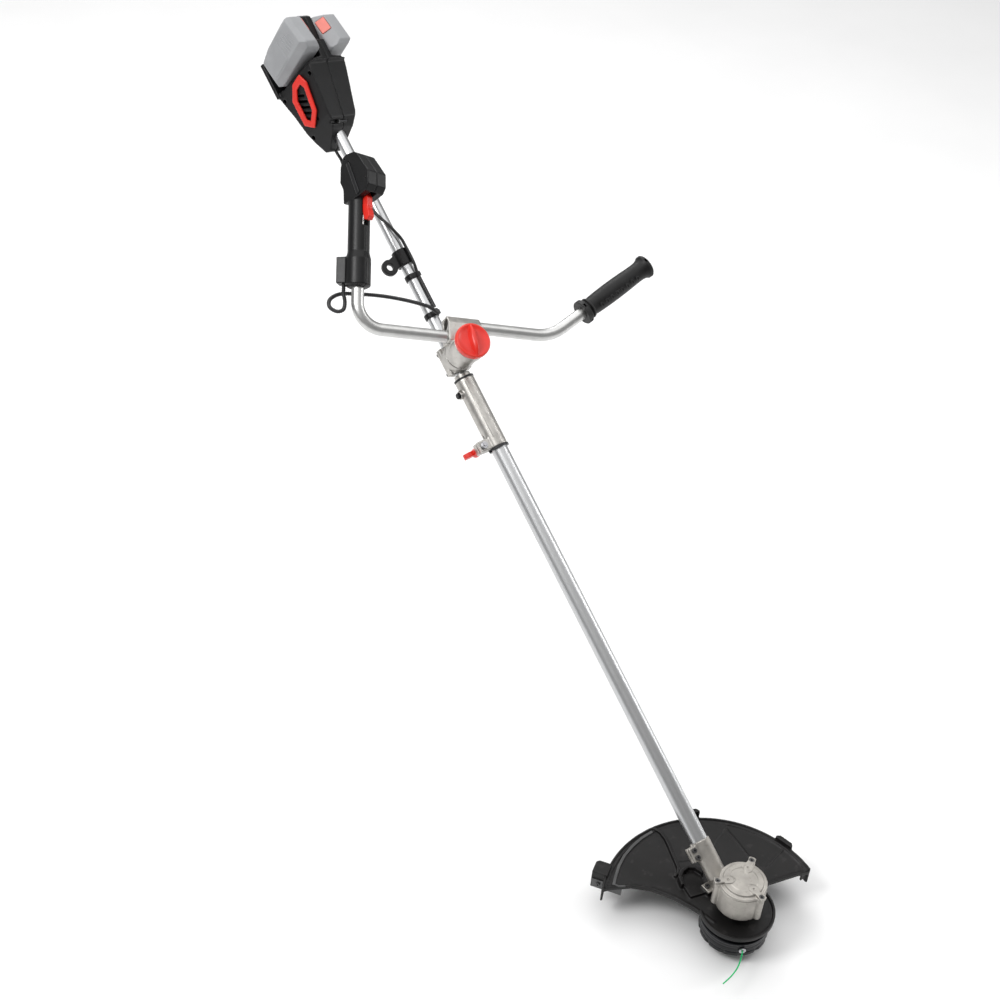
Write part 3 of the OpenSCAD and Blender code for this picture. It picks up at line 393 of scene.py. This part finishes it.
def smooth_path(points, steps):
    """Catmull-Rom curve through the points, each span in equal steps."""
    out = []
    p = [Vector(q) for q in points]
    for i in range(len(p) - 1):
        a, b, c, d = p[max(i - 1, 0)], p[i], p[i + 1], p[min(i + 2, len(p) - 1)]
        for k in range(steps):
            t = k / steps
            out.append(0.5 * (2 * b + (c - a) * t + (2 * a - 5 * b + 4 * c - d) * t * t
                              + (3 * b - a - 3 * c + d) * t ** 3))
    out.append(p[-1])
    return out


def even_path(points, gap):
    """The same curve again with its points a fixed distance apart, in mm."""
    out = [points[0].copy()]
    carry = 0.0
    for a, b in zip(points, points[1:]):
        d = (b - a).length
        t = gap - carry
        while t <= d:
            out.append(a.lerp(b, t / d))
            t += gap
        carry = d - (t - gap)
    return out


def sweep(path, radii, sides=16):
    """Tube of a changing radius along a path in mm, with ends closed."""
    bm = bmesh.new()
    normal = None
    rings = []
    for i, p in enumerate(path):
        d = (path[min(i + 1, len(path) - 1)] - path[max(i - 1, 0)]).normalized()
        if normal is None:
            normal = d.orthogonal().normalized()
        normal = (normal - d * normal.dot(d)).normalized()
        other = d.cross(normal)
        r = radii[i]
        rings.append([bm.verts.new((p + (normal * math.cos(2 * math.pi * k / sides)
                                         + other * math.sin(2 * math.pi * k / sides)) * r) * MM)
                      for k in range(sides)])
    for a, b in zip(rings, rings[1:]):
        for k in range(sides):
            j = (k + 1) % sides
            bm.faces.new((a[k], a[j], b[j], b[k]))
    bm.faces.new(rings[0])
    bm.faces.new(rings[-1])
    return bm


def circle(r, angles):
    """Points at the given angles in degrees."""
    return [(r * math.cos(math.radians(a)), r * math.sin(math.radians(a))) for a in angles]


def rect(x0, y0, x1, y1):
    return [(x0, y0), (x1, y0), (x1, y1), (x0, y1)]


def prism(outline, z0, z1, bm=None):
    """Upright solid from an outline in mm."""
    bm = bm or bmesh.new()
    low = [bm.verts.new((x * MM, y * MM, z0 * MM)) for x, y in outline]
    high = [bm.verts.new((x * MM, y * MM, z1 * MM)) for x, y in outline]
    n = len(outline)
    bm.faces.new(low[::-1])
    bm.faces.new(high)
    for i in range(n):
        j = (i + 1) % n
        bm.faces.new((low[i], low[j], high[j], high[i]))
    return bm


def merge(bm, part, frame_matrix=HERE):
    """Adds another mesh, moved by a matrix, and frees it."""
    part.transform(frame_matrix)
    mesh = bpy.data.meshes.new("part")
    part.to_mesh(mesh)
    part.free()
    bm.from_mesh(mesh)
    bpy.data.meshes.remove(mesh)


def place(bm, frame_matrix, outline, z0, z1):
    """Adds a prism that stands in another frame."""
    merge(bm, prism(outline, z0, z1), frame_matrix)


def ribbon(bm, points, width, z0, z1):
    """Raised rib of an even width along points in mm."""
    p = [Vector(q) for q in points]
    left, right_side = [], []
    for i, q in enumerate(p):
        d = (p[min(i + 1, len(p) - 1)] - p[max(i - 1, 0)]).normalized()
        side = Vector((-d.y, d.x)) * width / 2
        left.append(tuple(q + side))
        right_side.append(tuple(q - side))
    return prism(left + right_side[::-1], z0, z1, bm)


def baked(obj):
    """Replaces an object's mesh by the result of its modifiers."""
    bpy.context.view_layer.update()
    mesh = bpy.data.meshes.new_from_object(obj.evaluated_get(bpy.context.evaluated_depsgraph_get()))
    obj.modifiers.clear()
    obj.data = mesh
    for f in mesh.polygons:
        f.use_smooth = True


def cut_out(obj, cutters, own_overlaps=False):
    """Bakes the object with the given solids cut out of it."""
    made = []
    for bm in cutters:
        mesh = bpy.data.meshes.new("cutter")
        bmesh.ops.recalc_face_normals(bm, faces=bm.faces)
        bm.to_mesh(mesh)
        bm.free()
        tool = link(bpy.data.objects.new("cutter", mesh))
        made.append(tool)
        b = obj.modifiers.new("cut", "BOOLEAN")
        b.operation = "DIFFERENCE"
        b.solver = "EXACT"
        b.use_self = own_overlaps
        b.object = tool
    baked(obj)
    for tool in made:
        bpy.data.objects.remove(tool)


def rounded(obj, voxel, passes, cutters=()):
    """Joins overlapping shells, rounds their edges, then cuts the given solids out."""
    r = obj.modifiers.new("round", "REMESH")
    r.mode = "VOXEL"
    r.voxel_size = voxel * MM
    s = obj.modifiers.new("soften", "SMOOTH")
    s.iterations = passes
    cut_out(obj, cutters)


# ---- Floor ----

FLOOR_HALF = 14
FLOOR_DROP = 0.001
floor_mat = material("floor", (0.93, 0.93, 0.93), 0.8, 0, 0.01, 3, 0.02, 60)
bm = bmesh.new()
for x, y in rect(-FLOOR_HALF, -FLOOR_HALF, FLOOR_HALF, FLOOR_HALF):
    bm.verts.new((x, y, -FLOOR_DROP))
bm.faces.new(bm.verts)
floor_mesh = bpy.data.meshes.new("floor")
bm.to_mesh(floor_mesh)
bm.free()
floor_mesh.materials.append(floor_mat)
link(bpy.data.objects.new("floor", floor_mesh))


# ---- Control cable and its corrugated conduit ----

CABLE_R = 2.8
CABLE_STEP = 3
CONDUIT_HIGH, CONDUIT_LOW = 3.6, 3.0
CONDUIT_STEP = 0.55
RIB_STEPS = 6
# Routes in the shaft's frame, from the power unit down to the control handle
cable_route = [
    (-6.9, 1524, -25), (-7.5, 1508, -24), (-9, 1494, -19), (-14, 1478, -12), (-15, 1440, -3),
    (-15, 1400, 0), (-13, 1370, 8), (-3, 1336, 16), (6, 1308, 17), (7.5, 1292, 17),
    (7.5, 1258, 17), (7, 1238, 13), (7, 1200, 12.4), (7, 1166, 12.4)
]
conduit_route = [
    (7, 1163, 12.4), (2, 1154, 20), (-16, 1166, 34), (-52, 1186, 42), (-96, 1208, 46),
    (-136, 1226, 44), (-166, 1236, 44), (-190, 1232, 48), (-201, 1218, 54), (-195, 1205, 58),
    (-182, 1204, 58), (-172, 1216, 56.5), (-167.2, 1231, 57.4), (-160.6, 1245.3, 60.4),
    (-158.8, 1249, 61.2)
]
path = even_path(smooth_path(cable_route, 12), CABLE_STEP)
cable = finish_mesh(sweep(path, [CABLE_R] * len(path)), "cable", SHAFT, CABLE, "upper_frame")
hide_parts("control_cable")
path = even_path(smooth_path(conduit_route, 24), CONDUIT_STEP)
ribs = [CONDUIT_HIGH if i % RIB_STEPS < RIB_STEPS / 2 else CONDUIT_LOW for i in range(len(path))]
conduit = finish_mesh(sweep(path, ribs, 14), "conduit", SHAFT, CONDUIT, None, angle=0)
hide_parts("cable_conduit")
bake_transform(conduit)


# ---- Guard: plate, skirt, lugs and ribs, rounded into one moulding ----

# Centre and radius of the guard's rim. The left edge runs from the rim to the gear case, and the
# right edge from the gear case to the rim.
GX, GY, GR = -30, 20, 195
PLATE_LOW, PLATE_TOP = 66, 70.5
RIB_FOOT = 69
SKIRT_LOW, SKIRT_TOP = 38.6, 75.6
FOLD_LOW, FOLD_TOP, FOLD_W = 62.5, 71.5, 3.4
HUB_R = 64.8
FINE_RIB_W = 1.8
LEFT_EDGE = [(-176, 164), (-148, 154), (-118, 138), (-92, 113), (-72, 79), (-58, 40), (-50, 0)]
RIGHT_EDGE = [(40, 0), (62, 10), (86, 11), (140, -2), (178, -16)]


def crossing(a, b, r):
    """Where the segment from a to b meets the circle of radius r about the guard's centre."""
    a, b = Vector(a) - Vector((GX, GY)), Vector(b) - Vector((GX, GY))
    lo, hi = 0.0, 1.0
    inside = a.length < r
    for _ in range(40):
        t = (lo + hi) / 2
        if (a.lerp(b, t).length < r) == inside:
            lo = t
        else:
            hi = t
    return tuple(a.lerp(b, lo) + Vector((GX, GY)))


def arc(r, start, end, steps=60):
    """Points on the circle of radius r about the guard's centre, between two directions."""
    a0 = math.atan2(start[1] - GY, start[0] - GX)
    a1 = math.atan2(end[1] - GY, end[0] - GX)
    turns = [a0 + (a1 - a0) * i / steps for i in range(steps + 1)]
    return [(GX + r * math.cos(t), GY + r * math.sin(t)) for t in turns]


def band_outline(r0, r1):
    """Outline of the rim between two radii, cut off at the guard's sides."""
    outer = arc(r1, crossing(*RIGHT_EDGE[3:5], r1), crossing(LEFT_EDGE[1], LEFT_EDGE[0], r1))
    inner = arc(r0, crossing(LEFT_EDGE[2], LEFT_EDGE[0], r0), crossing(*RIGHT_EDGE[3:5], r0))
    return outer + inner


bm = bmesh.new()
plate = arc(GR - 1, crossing(*RIGHT_EDGE[3:5], GR - 1), crossing(LEFT_EDGE[1], LEFT_EDGE[0], GR - 1))
prism(plate + LEFT_EDGE[1:] + RIGHT_EDGE[:4], PLATE_LOW, PLATE_TOP, bm)
prism(band_outline(GR - 4.2, GR - 0.2), SKIRT_LOW, SKIRT_TOP, bm)
prism(band_outline(GR - 9, GR - 2), PLATE_LOW, 72.6, bm)
prism(circle(HUB_R, range(0, 360, 5)), PLATE_LOW, PLATE_TOP, bm)
prism(circle(HUB_R, range(150, 391, 5)) + circle(HUB_R - 4, range(390, 149, -5)), PLATE_LOW, 75, bm)
# Folded edge along the side toward the head
ribbon(bm, [crossing(LEFT_EDGE[1], LEFT_EDGE[0], GR - 4)] + LEFT_EDGE[1:], FOLD_W, FOLD_LOW, FOLD_TOP)
ribbon(bm, RIGHT_EDGE[:4] + [crossing(*RIGHT_EDGE[3:5], GR - 2)], FOLD_W, FOLD_LOW, FOLD_TOP)
# Curved rib, the step beside it and the fine ribs of the other half
ribbon(bm, [(-8, 211), (-4, 196), (-6, 180), (-11, 165), (-17, 150), (-23, 134), (-29, 119), (-36, 112),
            (-46, 109)], 4.5, RIB_FOOT, 76)
prism([(-6, 211), (60, 200), (120, 150), (62, 128), (30, 108), (-18, 132), (-6, 172)], RIB_FOOT,
      71.6, bm)
ribbon(bm, [(100, 138), (97, 104), (92, 70)], FINE_RIB_W, RIB_FOOT, 72.4)
ribbon(bm, [(158, 51), (130, 44), (101, 36)], FINE_RIB_W, RIB_FOOT, 72.4)
ribbon(bm, [(60, 186), (84, 172), (112, 148), (136, 116), (150, 82)], FINE_RIB_W, RIB_FOOT, 72.2)
# Arch beside the gear case
arch = [(-50, 84), (-44, 99), (-32, 107), (-18, 108), (-8, 100), (-4, 84)]
ribbon(bm, arch, 6, RIB_FOOT, 84)
prism([(-52, 60), (-47, 84), (-41, 96), (-31, 102), (-19, 103), (-12, 97), (-8, 84), (-20, 52)],
      RIB_FOOT, 76, bm)
prism(rect(-24.5, 46.5, 24.5, 65.5), PLATE_LOW, 77.8, bm)
# Lugs on the rim
for turn, width, height in ((62, 30, 31), (11, 34, 20)):
    half = width / 2
    place(bm, T(GX, GY, PLATE_LOW) @ R(turn, "Z"),
          [(GR - 3, -half), (GR + 1, -half), (GR + 5.8, -half + 5), (GR + 5.8, half - 5),
           (GR + 1, half), (GR - 3, half)], -3.8, height - 4.2)
# Block that carries the line cutter
place(bm, T(GX, GY, 38.5) @ R(123, "Z") @ T(GR, 0, 0),
      [(-5.8, -13.8), (17, -13.8), (21.8, -9), (21.8, 13.8), (-5.8, 13.8)], 0.2, 40.8)
# Teeth under the far end of the skirt
for turn in (-7.3, -3.6, 0.0):
    place(bm, T(GX, GY, 0) @ R(turn, "Z") @ T(GR - 15, 0, 0), rect(0, -1.6, 13, 1.6), 46, 68)

socket_hole = lathe([(0, 20), (18.3, 20), (18.3, 140), (0, 140)], 48)
socket_hole.transform(ALONG_SHAFT)
output_hole = lathe([(0, 60), (21, 60), (21, 90), (0, 90)], 48)
guard = finish_mesh(bm, "guard_moulding", HERE, GUARDBLACK, None, angle=0)
rounded(guard, 1.15, 3, [socket_hole, output_hole])
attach(guard, "lower_shaft")
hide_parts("guard")

# Pale inner strip of the rim, in a lighter grey than the guard
bm = bmesh.new()
STRIP_FOOT = 70.2
ribbon(bm, [(-14, 207), (-39, 206), (-64, 201), (-88, 193), (-110, 181), (-130, 166), (-144, 154)], 5,
       STRIP_FOOT, 73.4)
ribbon(bm, [(-143, 157), (-138, 148), (-128, 142)], 3, STRIP_FOOT, 72.8)
STRIP = material("guard_strip", (0.060, 0.060, 0.060), 0.5, 0, 0.3, 30, 0.3, 900,
                 wear=((0.16, 0.16, 0.155), 0.7))
strip = finish_mesh(bm, "guard_strip", HERE, STRIP, None, angle=0)
rounded(strip, 0.6, 2)
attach(strip, "lower_shaft")


# ---- Gear cover's cast relief ----

COVER_TURNS = (30, 150, 270)
COVER_TOP = 146
SCREW_AT = 44.3
PIN_AT = 26
bm = bmesh.new()
sockets = []
for turn in COVER_TURNS:
    place(bm, R(turn, "Z"), [(17, -4), (21, -7.5), (31, -7.5), (34, -5), (49, -6.2), (50.5, -3),
                             (50.5, 3), (49, 6.2), (34, 5), (31, 7.5), (21, 7.5), (17, 4)],
          COVER_TOP, 151.6)
    place(bm, R(turn, "Z"), [(14, -2.5), (20, -3), (20, 3), (14, 2.5)], COVER_TOP, 151)
    for at, radius, floor_z, steps in ((SCREW_AT, 4.9, 146.9, 24), (PIN_AT, 2.6, 149.6, 20)):
        tool = lathe([(0, floor_z), (radius, floor_z), (radius, 155), (0, 155)], steps)
        tool.transform(R(turn, "Z") @ T(at, 0, 0))
        sockets.append(tool)
prism(circle(24, range(0, 360, 6)), COVER_TOP, 150.2, bm)
prism(circle(33.6, range(0, 360, 5)), COVER_TOP, 149.4, bm)
relief = finish_mesh(bm, "cover_relief", HERE, GEARCAST, None, angle=0)
rounded(relief, 0.6, 3, sockets)
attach(relief, "lower_shaft")


# ---- Clamp knob with its finger bar ----

KNOB_R = 32
KNOB_FACE = 12.1
FLUTES = 36
FLUTE_DEPTH = 0.018
BAR_REACH, BAR_HALF, BAR_HIGH = 31.2, 8.2, 10.6
profile = [(4.1, 0.2), (30, 0.2), (30.6, 0.8), (30.6, 2.6), (31.8, 3.4), (KNOB_R, 4), (KNOB_R, 11),
           (31.4, 12.6), (29.8, 13.6), (27.6, 13.4), (26, 12.6), (20, 12.3), (0, 12.2)]
bm = lathe(profile, 144)
for v in bm.verts:
    if 3.2 < v.co.z / MM < 12:
        a = math.atan2(v.co.y, v.co.x)
        k = 1 - FLUTE_DEPTH * max(0.0, math.cos(FLUTES * a))
        v.co.x *= k
        v.co.y *= k
# The finger bar is a lens, highest in its middle
LENS_LONG, LENS_WIDE = 48, 12
grid = []
for i in range(LENS_LONG + 1):
    u = -1 + 2 * i / LENS_LONG
    row = []
    for j in range(LENS_WIDE + 1):
        w = -1 + 2 * j / LENS_WIDE
        half = BAR_HALF * (1 - u * u) + 0.7
        h = BAR_HIGH * (1 - abs(u) ** 3) * (1 - abs(w) ** 2.6)
        row.append(bm.verts.new((BAR_REACH * u * MM, half * w * MM, (KNOB_FACE + h) * MM)))
    grid.append(row)
for a, b in zip(grid, grid[1:]):
    for j in range(LENS_WIDE):
        bm.faces.new((a[j], b[j], b[j + 1], a[j + 1]))
knob = finish_mesh(bm, "knob", BAR @ T(0, 0, 78.5) @ R(100, "Z"), RED, "bar_knob",
                   angle=40)
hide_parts("clamp_knob")


# ---- Plain grip ----

profile = [(11.1, 76), (21.6, 76), (22.8, 77.2), (22.8, 84.4), (21.6, 85.6), (17.8, 86.2), (16.9, 88),
           (16.9, 90.4), (19.2, 91.4), (19.7, 93), (19.2, 94.6), (17.4, 95.8), (17.0, 99), (17.6, 108),
           (18.2, 122), (18.6, 140), (18.5, 160), (18.0, 180), (17.3, 198), (17.0, 210), (17.4, 218),
           (18.8, 224), (21.0, 228.4), (21.9, 229.4), (21.9, 234.4), (20.6, 235.8), (6, 235.8), (5, 234.6),
           (0, 234.4)]
bm = lathe(profile, 96)
grip_frame = PLAIN @ R(90, "Y")
OVALS, OVAL_FROM, OVAL_STEP, OVAL_AT = 8, 112, 12.5, 18.3
oval = [(0, -0.9), (3.1, -0.9), (4.3, -0.2), (4.6, 0.5), (4.2, 0.9), (3.2, 0.9), (2.6, 0.2), (0, 0)]
for i in range(OVALS):
    for deg in (200, 20):
        turn = math.radians(deg)
        spot = T(OVAL_AT * math.cos(turn), OVAL_AT * math.sin(turn), OVAL_FROM + OVAL_STEP * i)
        merge(bm, lathe(oval, 28), spot @ R(deg, "Z") @ R(90, "Y") @ R(25, "Z")
              @ Matrix.Diagonal((0.7, 1.2, 0.8, 1)))
# Notches in the rims of both flanges
cuts = []
for z, r in ((80.8, 16), (231.9, 15)):
    for deg in (150, 240, 330, 60):
        tool = prism(rect(-3.4, -2.0, 3.4, 2.0), r + 1.5, r + 12)
        tool.transform(T(0, 0, z) @ R(deg, "Z") @ R(90, "Y") @ R(90, "Z"))
        tool.transform(grip_frame)
        cuts.append(tool)
grip = finish_mesh(bm, "grip", grip_frame, RUBBER, None, angle=0)
cut_out(grip, cuts, own_overlaps=True)
s = grip.modifiers.new("split", "EDGE_SPLIT")
s.split_angle = math.radians(42)
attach(grip, "handlebar")
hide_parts("plain_grip")


# ---- Ridge let into the handle's head ----

bm = bmesh.new()
place(bm, T(17, 224, 0) @ R(27, "Z"), [(0.3, 0.3), (8.7, 0.3), (8.7, 66), (5.5, 69.6), (0.3, 69.6)],
      14, 21.6)
finish_mesh(bm, "handle_ridge", HANDLE, HANDLEBLACK, "handlebar", bevel=1.6,
            segments=3)


# ---- Clips that hold the cable to the tube ----

CLIP_TURN = math.degrees(math.atan2(-12.4, 7))
for i, t in enumerate((1158, 1236)):
    bm = lathe([(11.05, -5), (12.8, -5), (13.3, -4.4), (13.3, 4.4), (12.8, 5), (11.05, 5), (11.05, -5)], 48)
    place(bm, R(CLIP_TURN, "Z"), rect(11.5, -4.6, 17.8, 4.6), -4.2, 4.2)
    finish_mesh(bm, f"cable_clip_{i}", SHAFT @ T(0, t, 0) @ R(-90, "X"), PLASTIC, "upper_frame",
                bevel=0.5)


# ---- Parting line along the upper side of the cast coupler ----

bm = bmesh.new()
place(bm, R(-29, "Y"), rect(-0.5, 912, 0.5, 1022), 17.0, 18.45)
finish_mesh(bm, "coupler_seam", SHAFT, CAST, "upper_frame", angle=0)


# ---- Wing screw with two rounded lobes, and its stem with a nut ----

wing_frame = SHAFT @ T(-30, 905, 0)
bm = lathe([(0, -33.5), (7, -33.5), (8.4, -32), (8.4, -14.5), (7.6, -13.2), (0, -13.2)], 40)
lobes = [(-24.5, -25), (-25, -31), (-22, -36.5), (-16.5, -37.8), (-11, -36), (-6, -31.5), (6, -31.5),
         (11, -36), (16.5, -37.8), (22, -36.5), (25, -31), (24.5, -25), (19.5, -20.6), (12.5, -19.5),
         (7, -21.5), (-7, -21.5), (-12.5, -19.5), (-19.5, -20.6)]
place(bm, R(90, "X"), lobes, -4.6, 4.6)
wing = finish_mesh(bm, "wing", wing_frame, RED, None, angle=0)
rounded(wing, 0.7, 6)
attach(wing, "wing")
bm = lathe([(0, -24), (3, -24), (3, 9.1), (5.8, 9.1), (6.6, 9.8), (6.6, 13.4), (5.8, 14.2), (3.1, 14.2),
            (3.1, 15.4), (2.6, 16), (0, 16)], 36)
finish_mesh(bm, "wing_stem", wing_frame, STEEL, "wing")
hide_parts("wing_screw")


# ---- Panels and ribs on the battery packs ----

TRIM_FOOT = 46.5
TRIM_RIBS, RIB_GAP = 4, 6
for side, hand in ((1, "left"), (-1, "right")):
    # In this frame x runs along the pack's width, y up its height and z away from the housing
    bm = prism([(-20, -40), (12, -40), (17, -34), (17, 8), (-20, 8), (-24, 4), (-24, -35)], TRIM_FOOT, 48.7)
    for k in range(TRIM_RIBS):
        prism(rect(-18, 18 + RIB_GAP * k, 14 - 2 * k, 20.4 + RIB_GAP * k), TRIM_FOOT, 48.8, bm)
    trim = finish_mesh(bm, "pack_trim_" + hand, pack_frame(side) @ R(90, "Y") @ R(90, "Z"), PACK, None,
                       angle=0)
    rounded(trim, 0.7, 4)
    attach(trim, "pack_" + hand)
